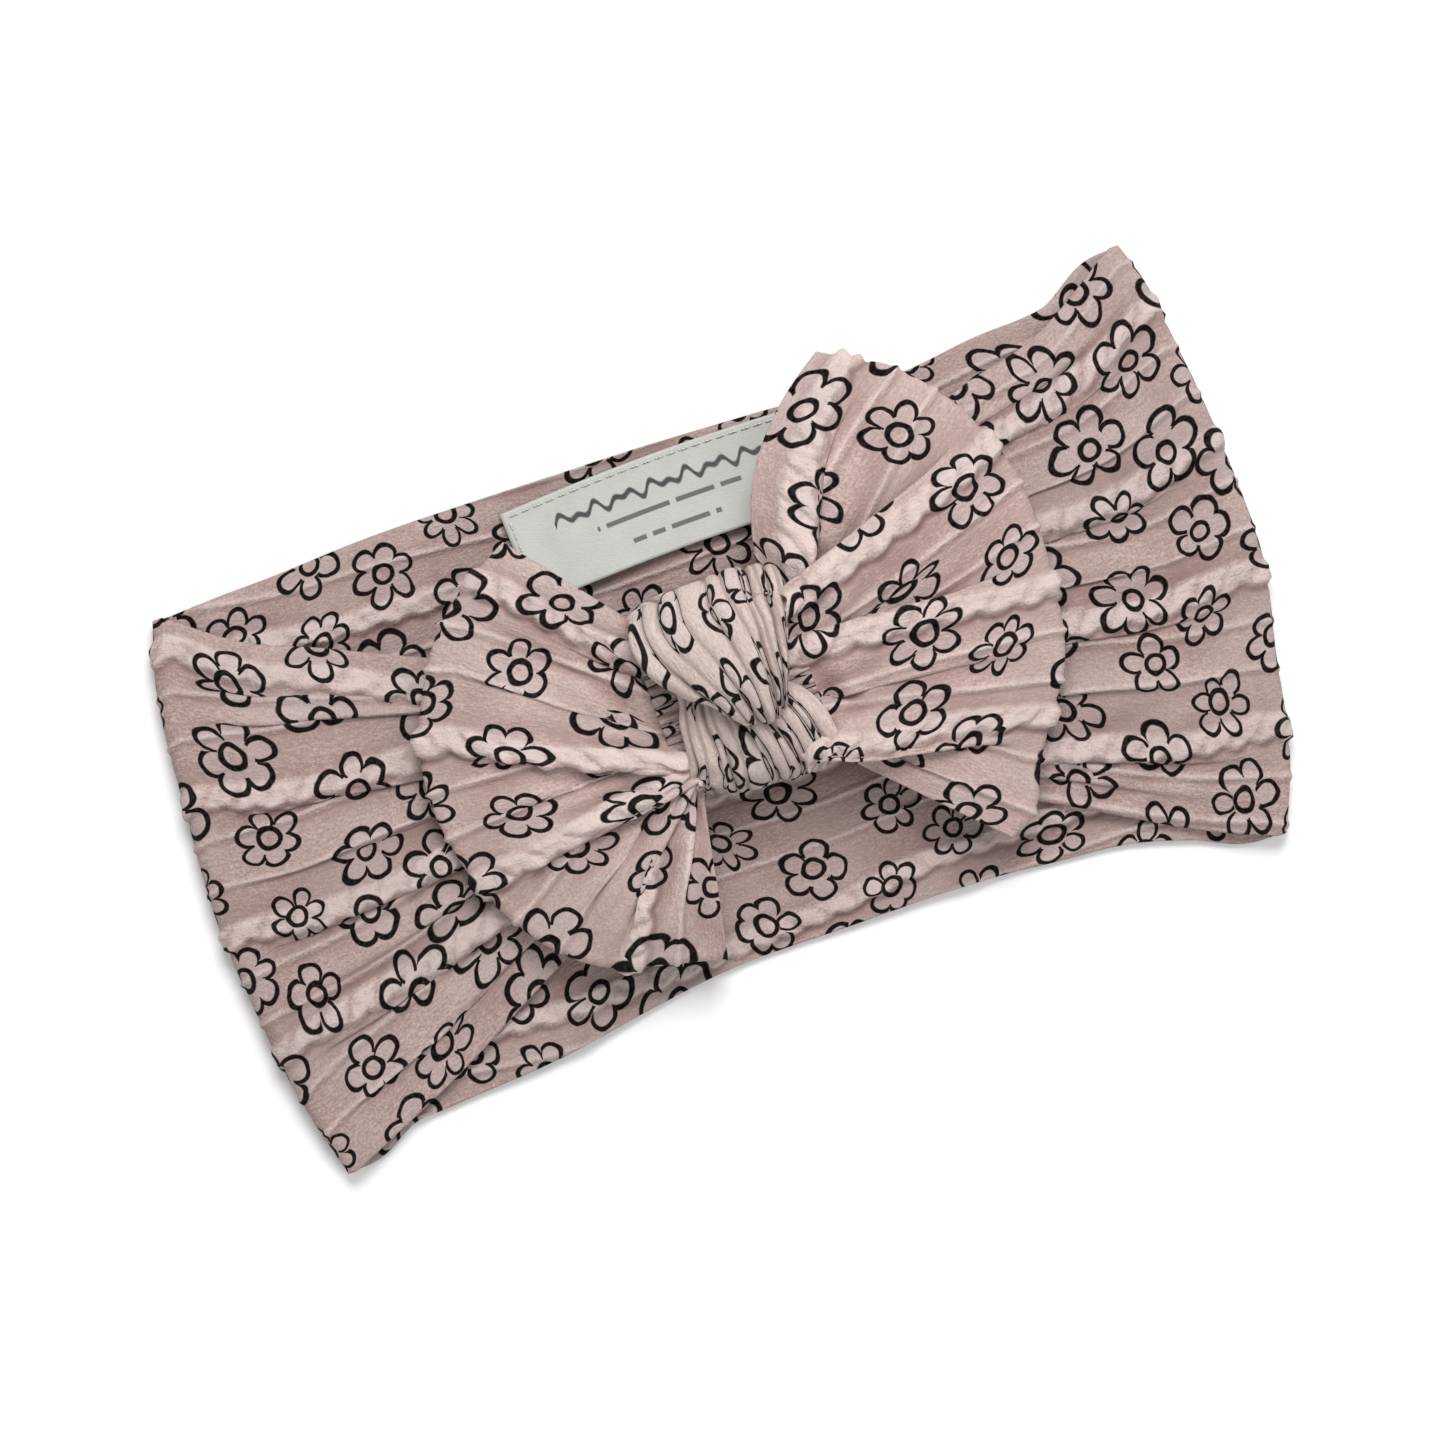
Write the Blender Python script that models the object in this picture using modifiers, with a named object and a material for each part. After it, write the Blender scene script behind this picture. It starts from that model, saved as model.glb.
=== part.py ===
"""A baby's knotted bow headband, lying flat with its bow upwards.

One wide strip of ribbed stretch cloth makes the band: a back panel, a fold at each end and a front
gathered into a neck. A second strip makes the bow's two loops and a third is tied round both necks
as the knot. A satin care label is sewn inside the back panel.

The frame is in metres. +X runs along the band, +Y across it and +Z up, out of the bow. The origin is
the middle of the whole object's box, on the surface that it lies on.
"""

import math

import bmesh
import bpy
from mathutils import Vector

MM = 0.001

# The cloth
CLOTH = 1.2 * MM
GAP = 0.3 * MM

# The band strip: its folded length, its width at each fold, and the height of the folds
HALF_LENGTH = 95 * MM
FOLD_HEIGHT = 7.0 * MM
LEFT_FOLD_EDGES = (-51.5 * MM, 48.4 * MM)
RIGHT_FOLD_EDGES = (-52.5 * MM, 52.5 * MM)
LEFT_FOLD_CURVE = (2.6, -5 * MM)  # how fast the fold line bows, per metre, and the Y of its furthest point
RIGHT_FOLD_CURVE = (3.0, 8 * MM)

FOLD_LIP_SHARE = 0.2  # each flat lip of a fold takes this share of the way round it

# The lines that the front's two wings turn on, inside the folds, and the wings' edges there
LEFT_HINGE_X = -82 * MM
RIGHT_HINGE_X = 78 * MM
WING_HINGE_Z = 6.4 * MM
LEFT_WING_EDGES = (-49.0 * MM, 46.0 * MM)
RIGHT_WING_EDGES = (-50.1 * MM, 47.4 * MM)

# The back panel's edges
BACK_BOTTOM_Y = -41.7 * MM
BACK_BOTTOM_CURVE = 1.4
BACK_TOP_Y = 46.7 * MM
BACK_TOP_POWER = 4  # the upper edge bows up towards its corners by this power of the way to them

# The knot's middle in plan, and the stretch along X that the necks and the knot take
KNOT_CENTRE = (2.0 * MM, 3.5 * MM)
NECK_LEFT_X = -13.0 * MM
NECK_RIGHT_X = 17.0 * MM

# The gathered necks: middle Y and Z, then half width and half height
BAND_NECK = (1.5 * MM, 7.5 * MM, 10.5 * MM, 2.1 * MM)
BOW_NECK = (3.0 * MM, 13.8 * MM, 9.5 * MM, 2.5 * MM)
WING_NECK_EDGES = (-8.5 * MM, 11.5 * MM)
WING_NECK_Z = 7.0 * MM
NECK_PINCH = 0.08
NECK_STATIONS = 5
ROUND_SIDES = 20  # sides of a neck's or a strand's section

# Each loop of the bow: which way it points, its fan's middle angle, half angle, reach and corner loss
LOOP_FANS = {
    "bow_left_loop": (-1, -10.0, 58.0, 55.5 * MM, 8.5 * MM),
    "bow_right_loop": (1, 1.5, 55.5, 60.0 * MM, 4.0 * MM),
}
FAN_CENTRE = (2.5 * MM, 3.5 * MM)
LOOP_NECK_HALF = 8.0 * MM
LOOP_NECK_GAP = 1.2 * MM
LOOP_NECK_Z = (11.0 * MM, 16.6 * MM)
LOOP_OUTER_Z = (9.6 * MM, 18.0 * MM)
LOOP_PUFF = 3.4 * MM
LOOP_BEND_START = 0.93  # how far out along the loop its outer bend begins
LOOP_EDGE_FLATTENING = 0.08
LOOP_DROOP = 0.5 * MM
LOOP_HINGE_Z = 17.0 * MM
LOOP_BEND_SHARE = 0.24  # the outer bend takes this share of the strip's run

# Sewing thread, and where its turns round each neck begin
THREAD = 0.6 * MM
BAND_THREAD_X = -6 * MM
BOW_THREAD_X = 4 * MM
THREAD_TURNS = 3
THREAD_STEPS = 20  # points in each turn
THREAD_CLEARANCE = 1.0 * MM
CLOSING_STITCHES = 10
CLOSING_Y = (-6 * MM, 9 * MM)
CLOSING_HALF = 1.5 * MM  # how far the closing zigzag goes to each side

# The care label, inside the back panel at its upper edge
LABEL_X = (-25.0 * MM, 30.0 * MM)
LABEL_Y = (29.0 * MM, 46.0 * MM)
LABEL_Z = 1.5 * MM
LABEL_THICKNESS = 0.4 * MM
LABEL_MARGIN = 1.0 * MM

# Steps of each sheet's grid, round or along it and then across it
BACK_GRID = (16, 6)
FOLD_GRID = (12, 8)
WING_GRID = (6, 6)
LOOP_GRID = (24, 12)
LABEL_GRID = (8, 3)

CLOTH_ROUGHNESS = 0.85
SATIN_ROUGHNESS = 0.4
THREAD_ROUGHNESS = 0.6
PINK = (0.53, 0.36, 0.32)
DEEP_PINK = (0.46, 0.30, 0.27)
PALE_PINK = (0.60, 0.44, 0.40)
SATIN = (0.72, 0.73, 0.68)
THREAD_PINK = (0.50, 0.34, 0.31)


def mix(a, b, share):
    return a + (b - a) * share


def material(name, colour, roughness):
    made = bpy.data.materials.new(name)
    made.use_nodes = True
    shader = made.node_tree.nodes["Principled BSDF"]
    shader.inputs["Base Color"].default_value = (*colour, 1.0)
    shader.inputs["Roughness"].default_value = roughness
    shader.inputs["Metallic"].default_value = 0.0
    return made


def add_object(name, data, finish, collection):
    made = bpy.data.objects.new(name, data)
    made.data.materials.append(finish)
    collection.objects.link(made)
    return made


def cloth_sheet(name, point, grid, finish, collection, thickness=CLOTH, side=1.0):
    """An open surface through point(u, v), both from 0 to 1, made thick on its normals' side or the other."""
    mesh = bpy.data.meshes.new(name)
    shape = bmesh.new()
    bmesh.ops.create_grid(shape, x_segments=grid[0], y_segments=grid[1], size=1.0)
    for vertex in shape.verts:
        vertex.co = point((vertex.co.x + 1) / 2, (vertex.co.y + 1) / 2)
    shape.to_mesh(mesh)
    shape.free()
    made = add_object(name, mesh, finish, collection)
    solidify = made.modifiers.new("Solidify", "SOLIDIFY")
    solidify.thickness = thickness
    solidify.offset = side
    solidify.use_even_offset = True
    return made


def loft(name, stations, finish, collection):
    """A closed solid through elliptical sections. A station is (middle, half width vector, half height vector)."""
    sides = ROUND_SIDES
    mesh = bpy.data.meshes.new(name)
    shape = bmesh.new()
    rings = []
    for middle, across, up in stations:
        angles = [2 * math.pi * k / sides for k in range(sides)]
        rings.append([shape.verts.new(middle + across * math.cos(a) + up * math.sin(a)) for a in angles])
    for near, far in zip(rings, rings[1:]):
        for k in range(sides):
            after = (k + 1) % sides
            shape.faces.new((near[k], near[after], far[after], far[k]))
    shape.faces.new(rings[0][::-1])
    shape.faces.new(rings[-1])
    bmesh.ops.recalc_face_normals(shape, faces=shape.faces)
    shape.to_mesh(mesh)
    shape.free()
    mesh.shade_smooth()
    return add_object(name, mesh, finish, collection)


def thread(name, points, finish, collection):
    curve = bpy.data.curves.new(name, "CURVE")
    curve.dimensions = "3D"
    curve.bevel_depth = THREAD / 2
    curve.bevel_resolution = 2
    curve.use_fill_caps = True
    line = curve.splines.new("POLY")
    line.points.add(len(points) - 1)
    for spot, place in zip(line.points, points):
        spot.co = (*place, 1.0)
    return add_object(name, curve, finish, collection)


def joint_empty(name, place, pieces, collection, parent=None):
    """An empty on a joint's axis, which the pieces that move about it are parented to."""
    empty = bpy.data.objects.new(name, None)
    empty.location = Vector(place)
    collection.objects.link(empty)
    for piece in pieces:
        piece.parent = empty
        piece.location = -Vector(place)
    if parent:
        empty.parent = parent
        empty.location = Vector(place) - parent.location
    return empty


# ---- The band strip ----


def fold_line_x(side, y):
    """The outermost X of the fold at this Y: side is -1 at the left and 1 at the right."""
    bow, furthest_y = LEFT_FOLD_CURVE if side < 0 else RIGHT_FOLD_CURVE
    return side * (HALF_LENGTH - bow * (y - furthest_y) ** 2)


def back_edges(x):
    """The back panel's lower and upper edge at this X."""
    lower = BACK_BOTTOM_Y - BACK_BOTTOM_CURVE * x * x
    corner = (LEFT_FOLD_EDGES if x < 0 else RIGHT_FOLD_EDGES)[1] - BACK_TOP_Y
    upper = BACK_TOP_Y + corner * (abs(x) / HALF_LENGTH) ** BACK_TOP_POWER
    return lower, upper


def back_panel_point(u, v):
    x = mix(LEFT_HINGE_X + GAP, RIGHT_HINGE_X - GAP, u)
    lower, upper = back_edges(x)
    return Vector((x, mix(lower, upper, v), 0))


def wing_edges(side):
    """A wing's lower and upper edge where it meets the fold."""
    return LEFT_WING_EDGES if side < 0 else RIGHT_WING_EDGES


def fold_point(side):
    """The outside of a fold, from the back panel round to the wing. Its first parameter runs up round the bend."""
    hinge_x = LEFT_HINGE_X if side < 0 else RIGHT_HINGE_X
    lip_x = hinge_x + side * GAP
    radius = FOLD_HEIGHT / 2
    bend_edges = LEFT_FOLD_EDGES if side < 0 else RIGHT_FOLD_EDGES
    bottom_edges = back_edges(hinge_x)
    top_edges = wing_edges(side)

    def point(u, v):
        if side > 0:
            v = 1 - v
        y = mix(*bend_edges, v)
        bend_x = fold_line_x(side, y) - side * radius
        if u < FOLD_LIP_SHARE:
            share = u / FOLD_LIP_SHARE
            return Vector((mix(lip_x, bend_x, share), mix(mix(*bottom_edges, v), y, share), 0))
        if u > 1 - FOLD_LIP_SHARE:
            share = (1 - u) / FOLD_LIP_SHARE
            return Vector((mix(lip_x, bend_x, share), mix(mix(*top_edges, v), y, share), FOLD_HEIGHT))
        angle = math.pi * (u - FOLD_LIP_SHARE) / (1 - 2 * FOLD_LIP_SHARE)
        return Vector((bend_x + side * radius * math.sin(angle), y, radius - radius * math.cos(angle)))

    return point


def wing_point(side):
    """The underside of the front between a fold and the neck."""
    if side < 0:
        start_x, end_x = LEFT_HINGE_X + GAP, NECK_LEFT_X - 2 * GAP
    else:
        start_x, end_x = RIGHT_HINGE_X - GAP, NECK_RIGHT_X + 2 * GAP
    start_edges = wing_edges(side)
    start_z = FOLD_HEIGHT - CLOTH

    def point(u, v):
        along = u if side < 0 else 1 - u
        lower = mix(start_edges[0], WING_NECK_EDGES[0], along)
        upper = mix(start_edges[1], WING_NECK_EDGES[1], along)
        return Vector((mix(start_x, end_x, along), mix(lower, upper, v), mix(start_z, WING_NECK_Z, along)))

    return point


def make_band(finish, collection):
    cloth_sheet("back_panel", back_panel_point, BACK_GRID, finish, collection)
    for side, name, hinge_x in ((-1, "left", LEFT_HINGE_X), (1, "right", RIGHT_HINGE_X)):
        cloth_sheet(name + "_fold", fold_point(side), FOLD_GRID, finish, collection, side=-1.0)
        wing = cloth_sheet(name + "_wing", wing_point(side), WING_GRID, finish, collection)
        joint_empty(name + "_wing_hinge", (hinge_x, 0, WING_HINGE_Z), [wing], collection)


# ---- The gathered necks and the thread round each ----


def neck(name, section, finish, collection):
    middle_y, middle_z, half_y, half_z = section
    stations = []
    for k in range(NECK_STATIONS):
        share = k / (NECK_STATIONS - 1)
        pinch = 1 - NECK_PINCH * math.sin(math.pi * share)
        middle = Vector((mix(NECK_LEFT_X, NECK_RIGHT_X, share), middle_y, middle_z))
        stations.append((middle, Vector((0, half_y * pinch, 0)), Vector((0, 0, half_z * pinch))))
    return loft(name, stations, finish, collection)


def winding(name, section, start_x, finish, collection):
    """Turns of sewing thread pulled round a neck."""
    middle_y, middle_z, half_y, half_z = section
    points = []
    for k in range(THREAD_TURNS * THREAD_STEPS + 1):
        angle = 2 * math.pi * k / THREAD_STEPS
        x = start_x + (THREAD + GAP) * k / THREAD_STEPS
        y = middle_y + (half_y + THREAD_CLEARANCE) * math.cos(angle)
        points.append((x, y, middle_z + (half_z + THREAD_CLEARANCE) * math.sin(angle)))
    return thread(name, points, finish, collection)


# ---- The bow ----


def loop_point(side, fan_middle, fan_half, reach, corner_loss):
    """The outside of one loop: out along its underside, round its outer bend and back along its top."""
    neck_x = (NECK_LEFT_X if side < 0 else NECK_RIGHT_X) + side * LOOP_NECK_GAP
    flat_share = (1 - LOOP_BEND_SHARE) / 2

    def point(u, v):
        across = 2 * v - 1 if side < 0 else 1 - 2 * v
        angle = math.radians(fan_middle + fan_half * across)
        radius = reach - corner_loss * across * across
        start = Vector((neck_x, KNOT_CENTRE[1] + LOOP_NECK_HALF * across, 0))
        end_x = FAN_CENTRE[0] + side * radius * math.cos(angle)
        end = Vector((end_x, FAN_CENTRE[1] + radius * math.sin(angle), 0))
        flatten = 1 - LOOP_EDGE_FLATTENING * across * across
        droop = LOOP_DROOP * abs(across) ** 3
        if u < flat_share:
            out, turn = LOOP_BEND_START * u / flat_share, 0.0
        elif u > 1 - flat_share:
            out, turn = LOOP_BEND_START * (1 - u) / flat_share, math.pi
        else:
            turn = math.pi * (u - flat_share) / LOOP_BEND_SHARE
            out = LOOP_BEND_START + (1 - LOOP_BEND_START) * math.sin(turn)
        low = mix(LOOP_NECK_Z[0], LOOP_OUTER_Z[0], min(out / LOOP_BEND_START, 1))
        high = mix(LOOP_NECK_Z[1], LOOP_OUTER_Z[1], min(out / LOOP_BEND_START, 1))
        high = low + (high - low) * mix(1, flatten, out)
        high += LOOP_PUFF * flatten * math.sin(math.pi * min(out, 1))
        height = mix(low, high, (1 - math.cos(turn)) / 2)
        place = start.lerp(end, out)
        return Vector((place.x, place.y, height - droop * out * out))

    return point


def make_bow(finish, collection, knot_slide):
    for name, (side, fan_middle, fan_half, reach, corner_loss) in LOOP_FANS.items():
        point = loop_point(side, fan_middle, fan_half, reach, corner_loss)
        loop = cloth_sheet(name, point, LOOP_GRID, finish, collection, side=-1.0)
        hinge_x = (NECK_LEFT_X if side < 0 else NECK_RIGHT_X) + side * LOOP_NECK_GAP
        place = (hinge_x, KNOT_CENTRE[1], LOOP_HINGE_Z)
        joint_empty(name + "_hinge", place, [loop], collection, knot_slide)


# ---- The knot ----

# Each strand's run round the necks: (Y, Z, half thickness, half width along X, middle X), all in mm
UPPER_STRAND = (
    (15.2, 3.2, 0.8, 11.0, 2.0),
    (16.9, 5.6, 1.3, 11.5, 2.0),
    (17.3, 11.0, 2.3, 13.0, 2.0),
    (16.6, 17.6, 3.4, 14.5, 2.0),
    (13.4, 22.2, 4.4, 15.0, 2.0),
    (8.2, 24.1, 4.9, 15.0, 2.0),
    (2.6, 25.4, 3.5, 14.0, 2.8),
    (-1.6, 24.9, 2.1, 11.5, 4.0),
)
LOWER_STRAND = (
    (-11.6, 3.2, 0.8, 11.0, 2.0),
    (-12.8, 5.6, 1.2, 11.0, 2.5),
    (-12.9, 11.0, 1.8, 12.0, 3.5),
    (-11.4, 16.6, 2.8, 12.5, 4.5),
    (-7.6, 19.9, 3.1, 12.5, 4.5),
    (-2.6, 20.2, 1.7, 12.5, 4.0),
    (1.2, 19.9, 1.2, 12.0, 3.5),
)
BACK_WRAP_Y = (-10.4 * MM, 14.1 * MM)
BACK_WRAP_Z = 3.2 * MM
BACK_WRAP_HALF = (11.0 * MM, 0.8 * MM)


def strand(name, run, finish, collection):
    """A strand of the knot, lofted along its run in the YZ plane with each section square to the run."""
    stations = []
    for k, (y, z, half_thick, half_wide, x) in enumerate(run):
        before, after = run[max(k - 1, 0)], run[min(k + 1, len(run) - 1)]
        along = Vector((0, after[0] - before[0], after[1] - before[1])).normalized()
        outward = Vector((1, 0, 0)).cross(along)
        middle = Vector((x, y, z)) * MM
        stations.append((middle, Vector((half_wide * MM, 0, 0)), outward * half_thick * MM))
    return loft(name, stations, finish, collection)


def make_knot(finish, stitch, collection):
    upper = strand("knot_upper_strand", UPPER_STRAND, finish, collection)
    lower = strand("knot_lower_strand", LOWER_STRAND, finish, collection)
    half_wide, half_thick = BACK_WRAP_HALF
    stations = []
    for y in BACK_WRAP_Y:
        middle = Vector((KNOT_CENTRE[0], y, BACK_WRAP_Z))
        stations.append((middle, Vector((half_wide, 0, 0)), Vector((0, 0, half_thick))))
    wrap = loft("knot_back_wrap", stations, finish, collection)
    zigzag = []
    for k in range(CLOSING_STITCHES + 1):
        y = mix(*CLOSING_Y, k / CLOSING_STITCHES)
        x = KNOT_CENTRE[0] + (CLOSING_HALF if k % 2 else -CLOSING_HALF)
        zigzag.append((x, y, BACK_WRAP_Z - half_thick - GAP - THREAD / 2))
    closing = thread("knot_closing_stitches", zigzag, stitch, collection)
    return [upper, lower, wrap, closing]


# ---- The care label ----


def label_point(u, v):
    return Vector((mix(*LABEL_X, u), mix(*LABEL_Y, v), LABEL_Z))


def make_label(finish, stitch, collection):
    cloth_sheet("care_label", label_point, LABEL_GRID, finish, collection, thickness=LABEL_THICKNESS)
    height = LABEL_Z + LABEL_THICKNESS + GAP + THREAD / 2
    left, right = LABEL_X[0] + LABEL_MARGIN, LABEL_X[1] - LABEL_MARGIN
    top, bottom = LABEL_Y[1] - LABEL_MARGIN, LABEL_Y[0] + LABEL_MARGIN
    side_top = top - THREAD - GAP
    thread("label_top_stitching", [(left, top, height), (right, top, height)], stitch, collection)
    thread("label_left_stitching", [(left, bottom, height), (left, side_top, height)], stitch, collection)
    thread("label_right_stitching", [(right, bottom, height), (right, side_top, height)], stitch, collection)


def main():
    for old in list(bpy.data.objects):
        bpy.data.objects.remove(old)
    collection = bpy.data.collections.new("knotted_headband")
    bpy.context.scene.collection.children.link(collection)
    band_cloth = material("band_cloth", PINK, CLOTH_ROUGHNESS)
    bow_cloth = material("bow_cloth", DEEP_PINK, CLOTH_ROUGHNESS)
    knot_cloth = material("knot_cloth", PALE_PINK, CLOTH_ROUGHNESS)
    satin = material("label_satin", SATIN, SATIN_ROUGHNESS)
    stitch = material("sewing_thread", THREAD_PINK, THREAD_ROUGHNESS)

    make_band(band_cloth, collection)
    make_label(satin, stitch, collection)
    front = make_knot(knot_cloth, stitch, collection)
    front.append(neck("band_neck", BAND_NECK, band_cloth, collection))
    front.append(winding("band_neck_thread", BAND_NECK, BAND_THREAD_X, stitch, collection))
    front.append(neck("bow_neck", BOW_NECK, bow_cloth, collection))
    front.append(winding("bow_neck_thread", BOW_NECK, BOW_THREAD_X, stitch, collection))
    knot_slide = joint_empty("front_knot_slide", (*KNOT_CENTRE, BOW_NECK[1]), front, collection)
    make_bow(bow_cloth, collection, knot_slide)


main()
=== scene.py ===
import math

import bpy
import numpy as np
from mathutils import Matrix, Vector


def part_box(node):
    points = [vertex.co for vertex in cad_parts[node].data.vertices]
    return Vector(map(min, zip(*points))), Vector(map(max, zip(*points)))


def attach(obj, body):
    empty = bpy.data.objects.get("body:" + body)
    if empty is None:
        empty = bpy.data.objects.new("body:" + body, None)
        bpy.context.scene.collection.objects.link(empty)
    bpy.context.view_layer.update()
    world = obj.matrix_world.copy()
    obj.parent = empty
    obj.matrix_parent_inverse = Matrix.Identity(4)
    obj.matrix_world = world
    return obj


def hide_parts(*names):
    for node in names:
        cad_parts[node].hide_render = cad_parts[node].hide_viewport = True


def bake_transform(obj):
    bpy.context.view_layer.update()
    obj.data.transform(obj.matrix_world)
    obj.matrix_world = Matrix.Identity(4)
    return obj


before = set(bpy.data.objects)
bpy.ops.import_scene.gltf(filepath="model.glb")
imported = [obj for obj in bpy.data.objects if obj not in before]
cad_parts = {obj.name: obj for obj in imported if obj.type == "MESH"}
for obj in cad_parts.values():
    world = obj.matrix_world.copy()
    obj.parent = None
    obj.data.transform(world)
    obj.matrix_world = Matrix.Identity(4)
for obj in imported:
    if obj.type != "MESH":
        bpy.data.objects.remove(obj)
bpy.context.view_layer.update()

# The looks of a baby's knotted headband: a ribbed knit strip folded flat, gathered under a bow.
# Shapes are worked out in millimetres, on grids of points that run along and across each strip of
# cloth, and every point keeps its place on the flat strip, so that the print follows the folds.

MM = 0.001
TURN = 2 * math.pi

# ---- The cloth, in millimetres ----

STRIP = 105.0  # width of each strip
THICKNESS = 0.8
ACROSS_STEPS = 240
ALONG_STEP = 1.0
WING_STEP = 0.65

CABLE_HALF = 2.5
CABLE_HEIGHT = 1.3
SCALLOP = 5.8
RIDGE_OFFSETS = (-16.6, -8.4, 8.4, 16.6)
RIDGE_HEIGHT = 0.75
CABLE_SHADOW_LINE = 0.6  # how dark the painted shadow line along the foot of a rib is
# how dark the painted shadow line beside each ridge is
RIDGE_SHADOW_LINE = 0.3
CREVICE_REACH = 8  # columns
CREVICE_DEPTH = 1.1

# ---- The places that come from the frame ----

left_fold_low, left_fold_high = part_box("left_fold")
right_fold_low, right_fold_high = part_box("right_fold")
FOLD_TOP = left_fold_high.z / MM


def smooth(t):
    t = np.clip(t, 0.0, 1.0)
    return t * t * (3 - 2 * t)


def mix(a, b, share):
    return a + (b - a) * share


def smooth_line(points, at):
    """The height at each place of a smooth line through (place, height) points, level beyond its ends."""
    places, heights = np.array(points, float).T
    at = np.clip(at, places[0], places[-1])
    slopes = np.gradient(heights, places)
    k = np.clip(np.searchsorted(places, at) - 1, 0, len(places) - 2)
    width = places[k + 1] - places[k]
    t = (at - places[k]) / width
    return (
        (2 * t**3 - 3 * t**2 + 1) * heights[k]
        + (t**3 - 2 * t**2 + t) * width * slopes[k]
        + (3 * t**2 - 2 * t**3) * heights[k + 1]
        + (t**3 - t**2) * width * slopes[k + 1]
    )


def smooth_path(points, share):
    """Points at these shares of its length along a smooth path through the given ones."""
    points = np.array(points, float)
    stations = np.arange(len(points))
    fine = np.linspace(0, len(points) - 1, 400)
    path = np.stack([smooth_line(np.stack([stations, c], 1), fine) for c in points.T], 1)
    run = np.concatenate([[0], np.cumsum(np.linalg.norm(np.diff(path, axis=0), axis=1))])
    return np.stack([np.interp(share, run / run[-1], c) for c in path.T], -1)


def ripples(along, across, wavelength, seed, waves=9):
    """Smooth noise between about -1 and 1, from waves in random directions."""
    random = np.random.default_rng(seed)
    total = np.zeros(np.broadcast(along, across).shape)
    for _ in range(waves):
        heading, phase = random.uniform(0, TURN, 2)
        length = wavelength * random.uniform(0.6, 1.7)
        place = along * math.cos(heading) + across * math.sin(heading)
        total = total + np.sin(TURN * place / length + phase)
    return total / math.sqrt(2 * waves)


def ribs(along, across, cables):
    """The knit's raised ribs: their height, and how much of each place is a rib, from 0 to 1, which is painted paler
    as painted highlight, less the painted shadow lines along the foot of each cable and beside each ridge.
    """
    height = np.zeros(np.broadcast(along, across).shape)
    share = np.zeros_like(height)
    # painted shadow: dark lines along the foot of each cable and beside each ridge, where shade falls under the raised
    # knit
    dark = np.zeros_like(height)
    for k, centre in enumerate(cables):
        d = across - centre - 0.5 * np.sin(along / 11 + 2.1 * k)
        step = along / SCALLOP + 0.37 * k + 0.22 * np.sin(along / 9 + k)
        lower = CABLE_HALF - 0.4 + 1.0 * np.abs(np.sin(math.pi * step)) ** 0.8
        upper = -CABLE_HALF + 0.4 * np.sin(along / 4.3 + k)
        body = smooth((d - upper) / 1.6) * smooth((lower - d) / 0.8)
        turn = step - d / 8.5
        groove = np.exp(-(((turn - np.floor(turn) - 0.5) / 0.12) ** 2))
        strand = 0.95 - 0.5 * groove + 0.24 * ripples(along, across, 3.6, 40 + k)
        height += CABLE_HEIGHT * body * strand
        under = np.exp(-(((d - lower - 0.4) / 0.5) ** 2))
        height -= 0.32 * under
        dark += CABLE_SHADOW_LINE * under * (0.7 + 0.3 * np.sin(along / 3.1 + k))
        # painted highlight: the raised body of each cable and the crest of each ridge are painted paler
        share = np.maximum(share, body * (0.8 - 0.5 * groove))
        for offset in RIDGE_OFFSETS[2:] if k else RIDGE_OFFSETS:
            e = d - offset + 0.35 * np.sin(along / 15 + offset + k)
            crest = np.exp(-((e / 0.5) ** 2)) * (0.85 + 0.15 * np.sin(along / 1.9 + k))
            beside = np.exp(-(((e - 0.95) / 0.45) ** 2))
            height += RIDGE_HEIGHT * crest - 0.16 * beside
            dark += RIDGE_SHADOW_LINE * beside
            share = np.maximum(share, 0.7 * crest)
    return height, share - dark


def soften(values, sigma):
    """The values smoothed across the strip, by a bell curve of this width in columns."""
    reach = int(3 * sigma) + 1
    bell = np.exp(-0.5 * (np.arange(-reach, reach + 1) / sigma) ** 2)
    bell = bell / bell.sum()
    before = 2 * values[:, :1] - values[:, reach:0:-1]
    after = 2 * values[:, -1:] - values[:, -2 : -reach - 2 : -1]
    padded = np.concatenate([before, values, after], 1)
    return np.stack([np.convolve(row, bell, "valid") for row in padded])


def pleats(spans, lines, least_run=2.2, cloth_width=STRIP):
    """Knife pleats that gather the strip to each of these spans. A line is (place, weight, way, tall):
    a pleat there takes this share of what is gathered, and its top edge lies over the cloth after it
    when the way is 1, or before it when it is -1. Returns how far across each point comes, and its height."""
    place = np.linspace(0, STRIP, ACROSS_STEPS)
    reached, raised = [], []
    for span in spans:
        take_up = max(0.0, cloth_width - span)
        v, s, z = [0.0], [0.0], [0.0]
        for where, weight, way, tall in lines:
            back = take_up * weight / 2
            run = max(back, least_run)
            begin = where if way > 0 else where - run
            top = tall * (0.35 + 0.5 * back)
            s += [s[-1] + begin - v[-1], s[-1] + begin - v[-1] + run - 2 * back]
            v += [begin, begin + run]
            z += [top, 0.0] if way > 0 else [0.0, top]
        s.append(s[-1] + cloth_width - v[-1])
        v.append(cloth_width)
        z.append(0.0)
        reached.append(np.interp(place, v, s))
        raised.append(np.interp(place, v, z))
    return np.stack(reached), np.stack(raised)


def painted_relief_light(level):
    """How far each point stands above, up to 1, or below, down to -1, the cloth on either side of it: painted light
    and shade, that makes raised folds paler and hollows darker.
    """
    return np.clip((level - soften(level, CREVICE_REACH)) / CREVICE_DEPTH, -1, 1)


# ---- Meshes ----


def grid_normals(grid):
    along = np.gradient(grid, axis=0)
    across = np.gradient(grid, axis=1)
    normals = np.cross(along, across)
    return normals / np.maximum(np.linalg.norm(normals, axis=2, keepdims=True), 1e-9)


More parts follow.
